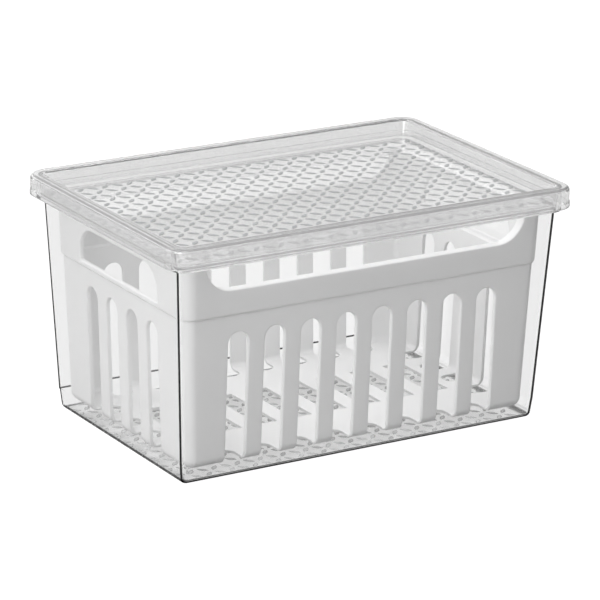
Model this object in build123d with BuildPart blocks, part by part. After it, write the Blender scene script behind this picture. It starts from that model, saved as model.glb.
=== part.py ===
from build123d import *
import os
from math import atan, degrees

# Food storage box for a fridge: a clear tapered bin, a slotted drain basket that
# stands inside it on four short feet, and a lid that drops over the rim.
# Millimetres, +Z up, +X along the length, origin in the middle of the base.

# Overall
box_length = 300.0
box_width = 205.0
bin_height = 159.1

# Lid
lid_height = 13.6
lid_corner = 14.8
lid_wall = 1.8
bead_height = 3.6
bead_proud = 0.4
bead_edge = 0.3
ridge_width = 9.5
ridge_outer_round = 2.8
ridge_inner_chamfer = 1.2
recess_depth = 12.6
recess_draft = 0.08

# Bin
bin_wall = 2.4
bin_floor = 2.0
bin_round = 4.2
bin_draft = 0.051
base_band_height = 14.0
base_band_draft = 0.1
base_band_step = 0.3
end_ledge_width = 3.7
side_ledge_width = 5.6
ledge_thickness = 1.5
rim_thickness = 1.8
rim_gap = 0.5
ledge_gap = 0.4

# Basket
basket_wall = 2.8
basket_floor = 2.0
basket_round = 6.5
basket_draft = 0.037
basket_end_gap = 4.7
basket_side_gap = 3.3
basket_top_gap = 1.2
band_height = 37.2
band_proud = 1.6
band_slope = 1.4
band_step = 0.3
lip_width = 6.0
lip_thickness = 2.4
foot_height = 5.3
foot_diameter = 8.5
foot_inset_x = 47.0
foot_inset_y = 35.0

# Slots of the basket
slot_pitch = 26.6
slot_width = 14.7
slot_below_band = 12.2
slot_margin = 16.0
side_wrap_inset = 19.2
end_wrap_inset = 20.1
middle_slot_length = 59.5

# Handle holes and scoops of the basket
handle_width = 102.6
handle_height = 23.1
handle_below_rim = 10.3
handle_round = 16.5
scoop_margin = 14.8
scoop_depth = 20.3
scoop_round = 19.5

# Heights that follow
lid_top = bin_height + lid_wall
lid_bottom = lid_top - lid_height
panel_top = lid_top - recess_depth
panel_bottom = panel_top - lid_wall
ledge_top = panel_bottom - ledge_gap
ledge_bottom = ledge_top - ledge_thickness
basket_bottom = bin_floor + foot_height
basket_top = panel_bottom - basket_top_gap
band_bottom = basket_top - band_height
band_start = band_bottom + band_slope


def outline(inset, corner, height):
    """Rounded outline at a height, drawn in from the overall length and width."""
    with BuildSketch(Plane.XY.offset(height)) as face:
        RectangleRounded(box_length - 2 * inset, box_width - 2 * inset, corner)
    return face.sketch


def drafted(end_inset, side_inset, corner, slope, low, high, round_base=False):
    """Block that opens upward to its insets from the overall outline at its top."""
    with BuildPart() as block:
        with BuildSketch(Plane.XY.offset(low)):
            Rectangle(box_length - 2 * end_inset, box_width - 2 * side_inset)
        extrude(amount=high - low)
        walls = block.faces().filter_by(Axis.Z, reverse=True)
        draft(walls, Plane.XY.offset(high), -degrees(atan(slope)))
        edges = block.edges().group_by(Axis.Z)
        fillet(edges[0] + edges[1] if round_base else edges[1], corner)
    return block.part


# Lid: skirt with a lip bead, flat ridge, and a pan that hangs inside the rim
pan_inset = ridge_width - lid_wall
channel_inset = bead_proud + lid_wall
pan_corner = lid_corner - pan_inset

with BuildPart() as bead:
    extrude(outline(0, lid_corner, lid_bottom), amount=bead_height)
    chamfer(bead.edges().group_by(Axis.Z)[0], bead_edge)
    chamfer(bead.edges().group_by(Axis.Z)[-1], bead_edge)

with BuildPart() as lid:
    extrude(outline(bead_proud, lid_corner - bead_proud, lid_bottom), amount=lid_height)
    fillet(lid.faces().sort_by(Axis.Z)[-1].edges(), ridge_outer_round)
    add(bead.part)
    extrude(
        outline(channel_inset, lid_corner - channel_inset, lid_bottom),
        amount=bin_height - lid_bottom,
        mode=Mode.SUBTRACT,
    )
    pan_top = lid_top - lid_wall
    add(drafted(pan_inset, pan_inset, pan_corner, recess_draft, panel_bottom, pan_top))
    recess_corner = pan_corner - lid_wall
    add(
        drafted(ridge_width, ridge_width, recess_corner, recess_draft, panel_top, lid_top),
        mode=Mode.SUBTRACT,
    )
    ridge_inner_edge = lid.faces().sort_by(Axis.Z)[-1].inner_wires()[0].edges()
    chamfer(ridge_inner_edge, ridge_inner_chamfer)

# Bin: walls that lean in more near the base, a ledge and a rim wall inside the lid
rim_inset = pan_inset - rim_gap - rim_thickness
end_wall_inset = rim_inset + end_ledge_width
side_wall_inset = rim_inset + side_ledge_width
base_band_set_in = bin_draft * (ledge_bottom - base_band_height) + base_band_step


def bin_block(inset, low, high):
    """Outer or inner form of the bin, up to just under or over the ledge."""
    corner = bin_round - inset
    end = end_wall_inset + inset
    side = side_wall_inset + inset
    base = base_band_set_in
    rise = bin_draft * (high - ledge_bottom)
    with BuildPart() as block:
        add(drafted(end + base, side + base, corner, base_band_draft, low, base_band_height, True))
        add(drafted(end - rise, side - rise, corner, bin_draft, base_band_height, high))
    return block.part


with BuildPart() as bin_body:
    add(bin_block(0, 0, ledge_bottom))
    extrude(
        outline(rim_inset, lid_corner - rim_inset, ledge_bottom),
        amount=bin_height - ledge_bottom,
    )
    extrude(
        outline(rim_inset + rim_thickness, lid_corner - rim_inset - rim_thickness, ledge_top),
        amount=bin_height - ledge_top,
        mode=Mode.SUBTRACT,
    )
    add(bin_block(bin_wall, bin_floor, ledge_top), mode=Mode.SUBTRACT)

# Basket: body, proud band at the top and an inward lip round the rim and scoops
rim_end_inset = end_wall_inset + bin_wall + basket_end_gap
rim_side_inset = side_wall_inset + bin_wall + basket_side_gap
body_set_in = basket_draft * band_height + band_proud
body_end_inset = rim_end_inset + body_set_in
body_side_inset = rim_side_inset + body_set_in
scoop_length = box_length - 2 * (rim_end_inset + scoop_margin)


def body_block(inset, low):
    """Outer or inner form of the body, up to the band."""
    corner = basket_round - inset
    end = body_end_inset + inset
    side = body_side_inset + inset
    return drafted(end, side, corner, basket_draft, low, band_bottom, True)


def band_block(inset):
    """Outer or inner form of the band, whose lower edge slopes in to the body."""
    corner = basket_round + band_proud - inset
    end = rim_end_inset + inset
    side = rim_side_inset + inset
    with BuildPart() as band:
        add(drafted(end, side, corner, basket_draft, band_bottom, basket_top))
        chamfer(
            band.faces().sort_by(Axis.Z)[0].edges(),
            band_proud - band_step,
            band_slope,
            reference=band.faces().sort_by(Axis.Z)[0],
        )
    return band.part


with BuildSketch(Plane.XZ) as scoop:
    with Locations((0, basket_top)):
        Rectangle(scoop_length, 2 * scoop_depth)
    fillet(scoop.vertices().group_by(Axis.Y)[0], scoop_round)

with BuildSketch(Plane.XZ) as lip_zone:
    add(scoop.sketch)
    offset(amount=lip_thickness)
    with Locations((0, basket_top)):
        Rectangle(box_length, 2 * lip_thickness)

with BuildPart() as basket_hollow:
    add(body_block(basket_wall, basket_bottom + basket_floor))
    add(band_block(basket_wall))
    extrude(lip_zone.sketch, amount=box_width, both=True, mode=Mode.SUBTRACT)
    with BuildSketch(Plane.XY.offset(band_start)):
        lip_end_inset = rim_end_inset + lip_width + basket_draft * band_height
        lip_side_inset = rim_side_inset + lip_width + basket_draft * band_height
        RectangleRounded(
            box_length - 2 * lip_end_inset,
            box_width - 2 * lip_side_inset,
            basket_round + band_proud - lip_width,
        )
    extrude(amount=basket_top - band_start)

with BuildSketch(Plane.YZ) as handle:
    with Locations((0, basket_top - handle_below_rim)):
        Rectangle(handle_width, handle_height, align=(Align.CENTER, Align.MAX))
    fillet(handle.vertices().group_by(Axis.Y)[-1], handle_round)

# Slots: those of the walls reach down into those of the floor, round the base edge
base_set_in = basket_draft * (band_bottom - basket_bottom)
base_length = box_length - 2 * (body_end_inset + base_set_in)
base_width = box_width - 2 * (body_side_inset + base_set_in)
long_wall_slots = int((base_length - 2 * slot_margin) / slot_pitch)
end_wall_slots = int((base_width - 2 * slot_margin) / slot_pitch)
slot_top = band_bottom - slot_below_band
slot_turn = basket_bottom + 2 * basket_round


def slot_row(plane, count, low, high, round_end):
    """Row of slots along a plane's first axis, rounded at one end."""
    with BuildSketch(plane) as row:
        with GridLocations(slot_pitch, 0, count, 1):
            with Locations((0, (low + high) / 2)):
                Rectangle(slot_width, high - low)
            with Locations((0, round_end)):
                Circle(slot_width / 2)
    return row.sketch


with BuildSketch(Plane.XY.offset(basket_bottom)) as middle_slots:
    with GridLocations(slot_pitch, 0, long_wall_slots, 1):
        Rectangle(slot_width, middle_slot_length)

slot_arch = slot_top - slot_width / 2
long_slots = slot_row(Plane.XZ, long_wall_slots, slot_turn, slot_arch, slot_arch)
end_slots = slot_row(Plane.YZ, end_wall_slots, slot_turn, slot_arch, slot_arch)

with BuildPart() as basket:
    add(body_block(0, basket_bottom))
    add(band_block(0))
    add(basket_hollow.part, mode=Mode.SUBTRACT)
    extrude(scoop.sketch, amount=box_width, both=True, mode=Mode.SUBTRACT)
    extrude(handle.sketch, amount=box_length, both=True, mode=Mode.SUBTRACT)
    extrude(long_slots, amount=box_width, both=True, mode=Mode.SUBTRACT)
    extrude(end_slots, amount=box_length, both=True, mode=Mode.SUBTRACT)
    for turn in (0, 180):
        side_end = base_width / 2 - side_wrap_inset + slot_width / 2
        end_end = base_length / 2 - end_wrap_inset + slot_width / 2
        side = Plane.XY.offset(basket_bottom).rotated((0, 0, turn))
        end = Plane.XY.offset(basket_bottom).rotated((0, 0, turn + 90))
        extrude(
            slot_row(side, long_wall_slots, side_end, box_width, side_end),
            amount=slot_turn - basket_bottom,
            mode=Mode.SUBTRACT,
        )
        extrude(
            slot_row(end, end_wall_slots, end_end, box_length, end_end),
            amount=slot_turn - basket_bottom,
            mode=Mode.SUBTRACT,
        )
    extrude(middle_slots.sketch, amount=basket_floor, mode=Mode.SUBTRACT)
    with BuildSketch(Plane.XY.offset(bin_floor)) as feet:
        with GridLocations(
            base_length - 2 * foot_inset_x, base_width - 2 * foot_inset_y, 2, 2
        ):
            Circle(foot_diameter / 2)
    extrude(amount=foot_height)

basket.part.label = "basket"
bin_body.part.label = "bin"
lid.part.label = "lid"

os.makedirs("parts", exist_ok=True)
export_step(bin_body.part, "parts/bin.step")
export_step(basket.part, "parts/basket.step")
export_step(lid.part, "parts/lid.step")
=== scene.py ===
import math

import bmesh
import bpy
from mathutils import Matrix, Vector


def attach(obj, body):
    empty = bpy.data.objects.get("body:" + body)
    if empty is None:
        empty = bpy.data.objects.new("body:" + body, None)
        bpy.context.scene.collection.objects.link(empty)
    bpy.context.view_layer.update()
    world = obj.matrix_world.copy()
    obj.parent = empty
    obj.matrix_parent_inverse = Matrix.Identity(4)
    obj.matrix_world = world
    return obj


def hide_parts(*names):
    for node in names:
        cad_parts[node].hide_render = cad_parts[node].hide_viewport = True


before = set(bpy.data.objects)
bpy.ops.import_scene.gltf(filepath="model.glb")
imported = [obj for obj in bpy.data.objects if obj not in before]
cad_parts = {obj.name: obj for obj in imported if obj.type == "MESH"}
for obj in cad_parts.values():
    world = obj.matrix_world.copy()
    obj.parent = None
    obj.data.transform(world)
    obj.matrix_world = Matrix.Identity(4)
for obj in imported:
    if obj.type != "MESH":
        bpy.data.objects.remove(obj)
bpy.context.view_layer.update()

scene = bpy.context.scene
MM = 0.001


def colour(text):
    """Linear colour from an sRGB hex value."""
    parts = [int(text[i:i + 2], 16) / 255 for i in (1, 3, 5)]
    return [c / 12.92 if c <= 0.04045 else ((c + 0.055) / 1.055) ** 2.4 for c in parts] + [1.0]


def node(tree, kind, sockets=None, **settings):
    """One shader node with its settings. A socket, by name or place, takes a value or a link."""
    made = tree.nodes.new(kind)
    for name, value in settings.items():
        setattr(made, name, value)
    for socket, value in (sockets or {}).items():
        if isinstance(value, bpy.types.NodeSocket):
            tree.links.new(value, made.inputs[socket])
        else:
            made.inputs[socket].default_value = value
    return made


def empty_material(name):
    """Material without nodes, and its node tree."""
    made = bpy.data.materials.new(name)
    made.use_nodes = True
    made.node_tree.nodes.clear()
    return made, made.node_tree


# Moulded plastics

def lets_light_by(tree, surface, tint):
    """Surface as the eye sees it, while light on its way to the pieces behind crosses it in a
    straight line and takes its tint, as it does through a thin clear wall."""
    path = node(tree, "ShaderNodeLightPath")
    crossing = node(tree, "ShaderNodeMath", {
        0: path.outputs["Is Shadow Ray"], 1: path.outputs["Is Diffuse Ray"]}, operation="MAXIMUM")
    crossed = node(tree, "ShaderNodeBsdfTransparent", {"Color": colour(tint)})
    return node(tree, "ShaderNodeMixShader", {
        0: crossing.outputs[0], 1: surface, 2: crossed.outputs[0]}).outputs[0]


def clear_polystyrene():
    """Clear polystyrene, injection moulded and polished: glass clear across a wall, with a ripple
    about 40 mm long that bends what is behind by a hair, while light that runs along a wall comes
    out dim, so corners, base and rim show as thin dark lines."""
    made, tree = empty_material("clear_moulded_polystyrene")
    place = node(tree, "ShaderNodeTexCoord")
    flow = node(tree, "ShaderNodeTexNoise", {
        "Vector": place.outputs["Object"], "Scale": 1 / (40 * MM), "Detail": 1.0})
    ripple = node(tree, "ShaderNodeBump", {
        "Height": flow.outputs[0], "Strength": 0.02, "Distance": 0.5 * MM})
    wall = node(tree, "ShaderNodeBsdfPrincipled", {
        "Base Color": colour("#ffffff"), "Roughness": 0.0, "IOR": 1.5,
        "Transmission Weight": 1.0, "Normal": ripple.outputs[0]})
    dim = node(tree, "ShaderNodeVolumeAbsorption", {"Color": colour("#000000"), "Density": 9.0})
    node(tree, "ShaderNodeOutputMaterial", {
        "Surface": lets_light_by(tree, wall.outputs[0], "#f6f6f6"), "Volume": dim.outputs[0]})
    return made


def grey_polypropylene():
    """Polypropylene with a little grey pigment, injection moulded: satin, soft wide highlights, a
    faint flow mottle about 15 mm across, and thin enough to glow where the light stands behind
    it."""
    made, tree = empty_material("light_grey_moulded_polypropylene")
    place = node(tree, "ShaderNodeTexCoord")
    mottle = node(tree, "ShaderNodeTexNoise", {
        "Vector": place.outputs["Object"], "Scale": 1 / (15.4 * MM), "Detail": 2.0})
    tone = node(tree, "ShaderNodeValToRGB", {0: mottle.outputs[0]})
    tone.color_ramp.elements[0].color = colour("#efefef")
    tone.color_ramp.elements[1].color = colour("#f2f2f2")
    # Mould texture is finer than the render can show, so it is drawn near 0.4 mm
    texture = node(tree, "ShaderNodeTexNoise", {
        "Vector": place.outputs["Object"], "Scale": 1 / (0.4 * MM), "Detail": 1.0})
    satin = node(tree, "ShaderNodeBump", {
        "Height": texture.outputs[0], "Strength": 0.03, "Distance": 0.2 * MM})
    body = node(tree, "ShaderNodeBsdfPrincipled", {
        "Base Color": tone.outputs[0], "Roughness": 0.42, "IOR": 1.49, "Normal": satin.outputs[0]})
    glow = node(tree, "ShaderNodeBsdfTranslucent", {"Color": colour("#f4f4f4")})
    mix = node(tree, "ShaderNodeMixShader", {0: 0.35, 1: body.outputs[0], 2: glow.outputs[0]})
    node(tree, "ShaderNodeOutputMaterial", {"Surface": mix.outputs[0]})
    return made


def milky_polypropylene():
    """Unpigmented polypropylene, injection moulded: a thin milky haze, in clouds about 25 mm
    across, over what lies behind, deeper where two or three walls stand behind each other, with
    the dim edges of a thick clear plastic."""
    made, tree = empty_material("milky_moulded_polypropylene")
    place = node(tree, "ShaderNodeTexCoord")
    cloud = node(tree, "ShaderNodeTexNoise", {
        "Vector": place.outputs["Object"], "Scale": 1 / (25 * MM), "Detail": 2.0})
    haze = node(tree, "ShaderNodeMapRange", {
        "Value": cloud.outputs[0], "To Min": 0.02, "To Max": 0.05})
    clear = node(tree, "ShaderNodeBsdfPrincipled", {
        "Base Color": colour("#fcfcfc"), "Roughness": haze.outputs[0], "IOR": 1.49,
        "Transmission Weight": 1.0})
    milk = node(tree, "ShaderNodeBsdfTranslucent", {"Color": colour("#fafafa")})
    skin = node(tree, "ShaderNodeBsdfDiffuse", {"Color": colour("#d8d8d8")})
    white = node(tree, "ShaderNodeMixShader", {0: 0.5, 1: milk.outputs[0], 2: skin.outputs[0]})
    # The panel is moulded matt; the ridge and skirt above it come from a polished face
    height = node(tree, "ShaderNodeSeparateXYZ", {0: place.outputs["Object"]})
    matt = node(tree, "ShaderNodeMapRange", {
        "Value": height.outputs["Z"], "From Min": 148.5 * MM, "From Max": 151 * MM,
        "To Min": 0.18, "To Max": 0.10})
    wall = node(tree, "ShaderNodeMixShader", {
        0: matt.outputs[0], 1: clear.outputs[0], 2: white.outputs[0]})
    dim = node(tree, "ShaderNodeVolumeAbsorption", {"Color": colour("#000000"), "Density": 9.0})
    node(tree, "ShaderNodeOutputMaterial", {
        "Surface": lets_light_by(tree, wall.outputs[0], "#fcfcfc"), "Volume": dim.outputs[0]})
    return made


def petal_finish(name, tint, cover):
    """Finish of a moulded petal: its sloped edge gets a painted shade, a grey that stands in for
    the light its slopes bend away and reads as a thin grey line, and its flat face a faint grey
    veil."""
    made, tree = empty_material(name)
    etch = node(tree, "ShaderNodeBsdfPrincipled", {
        "Base Color": colour(tint), "Roughness": 0.5, "IOR": 1.49, "Alpha": cover})
    node(tree, "ShaderNodeOutputMaterial", {
        "Surface": lets_light_by(tree, etch.outputs[0], "#fefefe")})
    return made


# The three moulded pieces, with the small radius that every moulded edge has

def hull_depths(form):
    """Distance of a point inside the form from the form's convex hull."""
    hull = form.copy()
    made = bmesh.ops.convex_hull(hull, input=hull.verts, use_existing_faces=False)
    planes = []
    for face in made["geom"]:
        if isinstance(face, bmesh.types.BMFace):
            planes.append((face.normal.copy(), face.verts[0].co.copy()))
    hull.free()
    return lambda point: min(abs(normal.dot(point - at)) for normal, at in planes)


ledge_height = 14 * MM
ledge_step = 0.3 * MM
back_strip = 4 * MM


def blend_ledge(form):
    """Draws the bin's small ledge into the wall below it, apart from a strip along the back,
    because the back one alone catches the eye."""
    ledge = [vert for vert in form.verts if abs(vert.co.z - ledge_height) < 0.01 * MM]
    back = max(vert.co.y for vert in ledge)
    blended = [vert for vert in ledge if vert.co.y < back - back_strip]
    upper = [vert for vert in blended if any(
        edge.other_vert(vert).co.z > ledge_height + MM for edge in vert.link_edges)]
    lower = [vert for vert in blended if vert not in upper]
    joined = {}
    for vert in upper:
        outward = Vector((
            math.copysign(ledge_step, vert.co.x), math.copysign(ledge_step, vert.co.y), 0))
        joined[vert] = min(lower, key=lambda other: (other.co - vert.co + outward).length)
    bmesh.ops.weld_verts(form, targetmap=joined)


def moulded(name, radius, segments, reach=None, ledge=False):
    """Copy of a carried-over piece with its sharp edges rounded, where reach is given only those
    within that depth of its outside, and with its ledge blended where it has one."""
    form = bmesh.new()
    form.from_mesh(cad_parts[name].data)
    bmesh.ops.remove_doubles(form, verts=form.verts, dist=0.002 * MM)
    if ledge:
        blend_ledge(form)
    bmesh.ops.dissolve_limit(
        form, angle_limit=math.radians(0.5), verts=form.verts, edges=form.edges)
    depth = hull_depths(form) if reach else None
    sharp = []
    for edge in form.edges:
        if len(edge.link_faces) == 2 and edge.calc_face_angle() > math.radians(50):
            middle = (edge.verts[0].co + edge.verts[1].co) / 2
            if reach is None or depth(middle) < reach:
                sharp.append(edge)
    bmesh.ops.bevel(
        form, geom=sharp, offset=radius, offset_type="OFFSET", segments=segments, profile=0.5,
        material=-1, affect="EDGES", clamp_overlap=False)
    mesh = bpy.data.meshes.new(name + "_moulding")
    form.to_mesh(mesh)
    form.free()
    mesh.shade_smooth()
    mesh.set_sharp_from_angle(angle=math.radians(35))
    piece = bpy.data.objects.new(name + "_moulding", mesh)
    scene.collection.objects.link(piece)
    even = piece.modifiers.new("even_shading", "WEIGHTED_NORMAL")
    even.keep_sharp = True
    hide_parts(name)
    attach(piece, name)
    return piece


basket = moulded("basket", radius=1.0 * MM, segments=3, reach=2.2 * MM)
basket.data.materials.append(grey_polypropylene())

clear_bin = moulded("bin", radius=0.3 * MM, segments=2, ledge=True)
clear_bin.data.materials.append(clear_polystyrene())

lid = moulded("lid", radius=0.4 * MM, segments=2)
lid.data.materials.append(milky_polypropylene())


# Petals of the lid panel and of the bin floor

petal_width = 3.4 * MM
petal_rise = 0.3 * MM
petal_slope = 0.6 * MM
petal_gap = 0.02 * MM
bare_corner = 6 * MM


def petal_lattice(name, pitch, length, half_x, half_y, level):
    """Lattice of lens shaped petals with sloped edges, each at a right angle to its neighbours, a
    hair above the face at a level. Their rise is a guess, high enough for the edges to show."""
    petal = bmesh.new()
    bmesh.ops.create_circle(petal, cap_ends=True, radius=1.0, segments=12)
    for vert in petal.verts:
        along = vert.co.x
        across = math.copysign(1 - along * along, vert.co.y)
        vert.co = Vector((along * length / 2, across * petal_width / 2, 0))
    bmesh.ops.remove_doubles(petal, verts=petal.verts, dist=0.01 * MM)
    solid = bmesh.ops.extrude_face_region(petal, geom=petal.faces[:], use_keep_orig=True)
    top = [face for face in solid["geom"] if isinstance(face, bmesh.types.BMFace)]
    raised = [vert for vert in solid["geom"] if isinstance(vert, bmesh.types.BMVert)]
    bmesh.ops.translate(petal, verts=raised, vec=(0, 0, petal_rise / 2))
    bmesh.ops.inset_individual(petal, faces=top, thickness=petal_slope, depth=petal_rise / 2)
    for face in top:
        face.material_index = 1
    bmesh.ops.recalc_face_normals(petal, faces=petal.faces)
    one = bpy.data.meshes.new(name + "_one")
    petal.to_mesh(one)
    petal.free()
    whole = bmesh.new()
    columns = int(half_x / pitch)
    rows = int(half_y / pitch)
    for i in range(-columns, columns + 1):
        for j in range(-rows, rows + 1):
            if abs(i) * pitch > half_x - bare_corner and abs(j) * pitch > half_y - bare_corner:
                continue
            before = len(whole.verts)
            whole.from_mesh(one)
            whole.verts.ensure_lookup_table()
            turn = Matrix.Rotation(math.radians(45 if (i + j) % 2 == 0 else -45), 4, "Z")
            move = Matrix.Translation((i * pitch, j * pitch, level + petal_gap)) @ turn
            bmesh.ops.transform(whole, matrix=move, verts=whole.verts[before:])
    bpy.data.meshes.remove(one)
    mesh = bpy.data.meshes.new(name)
    whole.to_mesh(mesh)
    whole.free()
    piece = bpy.data.objects.new(name, mesh)
    scene.collection.objects.link(piece)
    return piece


lid_petals = petal_lattice(
    "lid_petals", pitch=9.05 * MM, length=8.4 * MM,
    half_x=136 * MM, half_y=89 * MM, level=148.3 * MM)
# The lid petals' edges carry painted shade, a grey for the light their slopes bend away
lid_petals.data.materials.append(petal_finish("lid_petal_edge_painted_shade", "#7c7e7e", 0.85))
lid_petals.data.materials.append(petal_finish("lid_petal_face_veil", "#e4e6e6", 0.15))
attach(lid_petals, "lid")

bin_petals = petal_lattice(
    "bin_petals", pitch=8.5 * MM, length=8.0 * MM,
    half_x=128 * MM, half_y=78 * MM, level=2.0 * MM)
# The bin petals' edges carry painted shade too, in a lighter grey
bin_petals.data.materials.append(petal_finish("bin_petal_edge_painted_shade", "#a4a6a6", 0.42))
bin_petals.data.materials.append(petal_finish("bin_petal_face_veil", "#e4e6e6", 0.1))
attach(bin_petals, "bin")


# White paper sweep, just clear of the base: white to the eye, with a faint shadow under the box

floor_reach = 6.0
floor_gap = 0.3 * MM
contact_reach = 12 * MM

floor_form = bmesh.new()
bmesh.ops.create_grid(
    floor_form, x_segments=1, y_segments=1, size=floor_reach,
    matrix=Matrix.Translation((0, 0, -floor_gap)))
floor_mesh = bpy.data.meshes.new("floor")
floor_form.to_mesh(floor_mesh)
floor_form.free()
floor = bpy.data.objects.new("floor", floor_mesh)
scene.collection.objects.link(floor)

paper, tree = empty_material("white_paper")
path = node(tree, "ShaderNodeLightPath")
place = node(tree, "ShaderNodeTexCoord")

# Distance of a point of the paper from the edge of the base, in a band wider at the ends, which
# places the painted shadow below
base = [vert.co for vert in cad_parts["bin"].data.vertices if vert.co.z < 0.01 * MM]
base_corner = (max(at.x for at in base), max(at.y for at in base), 0)
apart = node(tree, "ShaderNodeVectorMath", {0: place.outputs["Object"]}, operation="ABSOLUTE")
beyond = node(tree, "ShaderNodeVectorMath", {
    0: apart.outputs[0], 1: base_corner}, operation="SUBTRACT")
spread = node(tree, "ShaderNodeVectorMath", {
    0: beyond.outputs[0], 1: (0.8, 2.4, 0)}, operation="MULTIPLY")
axes = node(tree, "ShaderNodeSeparateXYZ", {0: spread.outputs[0]})
outside = node(tree, "ShaderNodeMath", {
    0: axes.outputs["X"], 1: axes.outputs["Y"]}, operation="MAXIMUM")
painted_shadow_band = node(tree, "ShaderNodeMapRange", {
    "Value": outside.outputs[0], "From Min": -contact_reach, "From Max": contact_reach})

# Seen through the plastic or mirrored in it, the paper carries a painted shadow: dark where the
# rounded base meets it, and seen through, a little darker under the base too
painted_shadow_seen_through = node(tree, "ShaderNodeValToRGB", {0: painted_shadow_band.outputs[0]})
painted_shadow_mirrored = node(tree, "ShaderNodeValToRGB", {0: painted_shadow_band.outputs[0]})
for ramp, stops in (
        (painted_shadow_seen_through, ((0.42, "#ececec"), (0.50, "#555555"), (0.66, "#555555"), (0.95, "#ffffff"))),
        (painted_shadow_mirrored, ((0.42, "#808080"), (0.50, "#202020"), (0.70, "#202020"), (0.95, "#808080")))):
    marks = ramp.color_ramp.elements
    while len(marks) < len(stops):
        marks.new(0.5)
    for mark, (position, shade) in zip(marks, stops):
        mark.position = position
        mark.color = colour(shade)

# The paper's diffuse colour and its glow carry this painted shadow; only the camera sees it plain
sheet = node(tree, "ShaderNodeBsdfDiffuse", {"Color": painted_shadow_mirrored.outputs[0]})
glow = node(tree, "ShaderNodeEmission", {"Color": painted_shadow_seen_through.outputs[0], "Strength": 1.10})
glowing = node(tree, "ShaderNodeMixShader", {0: 0.85, 1: sheet.outputs[0], 2: glow.outputs[0]})
in_plastic = node(tree, "ShaderNodeMixShader", {
    0: path.outputs["Is Transmission Ray"], 1: sheet.outputs[0], 2: glowing.outputs[0]})
white = node(tree, "ShaderNodeEmission", {"Color": colour("#ffffff"), "Strength": 0.93})
shadow = node(tree, "ShaderNodeBsdfDiffuse", {"Color": colour("#646464")})
bright = node(tree, "ShaderNodeAddShader", {0: white.outputs[0], 1: shadow.outputs[0]})
mix = node(tree, "ShaderNodeMixShader", {
    0: path.outputs["Is Camera Ray"], 1: in_plastic.outputs[0], 2: bright.outputs[0]})
node(tree, "ShaderNodeOutputMaterial", {"Surface": mix.outputs[0]})
floor.data.materials.append(paper)


# White room, bright above and behind to the left, dim towards the front right

world = bpy.data.worlds.new("studio")
scene.world = world
world.use_nodes = True
tree = world.node_tree
tree.nodes.clear()
path = node(tree, "ShaderNodeLightPath")
place = node(tree, "ShaderNodeTexCoord")
behind = node(tree, "ShaderNodeVectorMath", {
    0: place.outputs["Generated"], 1: (-0.5, 0.866, 0.0)}, operation="DOT_PRODUCT")
above = node(tree, "ShaderNodeVectorMath", {
    0: place.outputs["Generated"], 1: (0.0, 0.0, 1.0)}, operation="DOT_PRODUCT")
from_behind = node(tree, "ShaderNodeMapRange", {
    "Value": behind.outputs["Value"], "From Min": 0.1, "From Max": 0.9,
    "To Min": 0.06, "To Max": 1.8}, interpolation_type="SMOOTHSTEP")
from_above = node(tree, "ShaderNodeMapRange", {
    "Value": above.outputs["Value"], "From Min": 0.45, "From Max": 1.0,
    "To Min": 0.0, "To Max": 2.4}, interpolation_type="SMOOTHSTEP")
level = node(tree, "ShaderNodeMath", {
    0: from_behind.outputs[0], 1: from_above.outputs[0]}, operation="ADD")
around = node(tree, "ShaderNodeBackground", {
    "Color": colour("#ffffff"), "Strength": level.outputs[0]})
seen = node(tree, "ShaderNodeBackground", {"Color": colour("#ffffff"), "Strength": 1.0})
mix = node(tree, "ShaderNodeMixShader", {
    0: path.outputs["Is Camera Ray"], 1: around.outputs[0], 2: seen.outputs[0]})
node(tree, "ShaderNodeOutputWorld", {"Surface": mix.outputs[0]})


# Square softbox at the front left, aimed at the middle of the box

lamp = bpy.data.lights.new("left_softbox", "AREA")
lamp.size = 0.7
lamp.energy = 10.8
softbox = bpy.data.objects.new("left_softbox", lamp)
softbox.location = (-1.01, -0.585, 0.50)
aim = Vector((0, 0, 0.08)) - softbox.location
softbox.rotation_euler = aim.to_track_quat("-Z", "Y").to_euler()
scene.collection.objects.link(softbox)


# Camera at the photograph's angle, with lengths in the photograph's pixels

azimuth, elevation, roll = (math.radians(angle) for angle in (-31.311, 18.328, 0.919))
picture_width = 600.0
focal_length = 3732.3
shift_right, shift_up = 2.62, 11.8
target = Vector((0, 0, 0.070))
distance = 2.4559

level_back = Vector((math.sin(azimuth), -math.cos(azimuth), 0))
back = level_back * math.cos(elevation) + Vector((0, 0, math.sin(elevation)))
right = (-back).cross(Vector((0, 0, 1))).normalized()
up = right.cross(-back)
rolled_right = math.cos(roll) * right + math.sin(roll) * up
rolled_up = -math.sin(roll) * right + math.cos(roll) * up
lens = bpy.data.cameras.new("camera")
lens.sensor_width = 36.0
lens.lens = focal_length * lens.sensor_width / picture_width
lens.shift_x = shift_right / picture_width
lens.shift_y = shift_up / picture_width
lens.clip_start, lens.clip_end = 0.05, 50.0
camera = bpy.data.objects.new("camera", lens)
scene.collection.objects.link(camera)
turned = Matrix((rolled_right, rolled_up, back)).transposed().to_4x4()
camera.matrix_world = Matrix.Translation(target + back * distance) @ turned
scene.camera = camera

scene.view_settings.view_transform = "Standard"
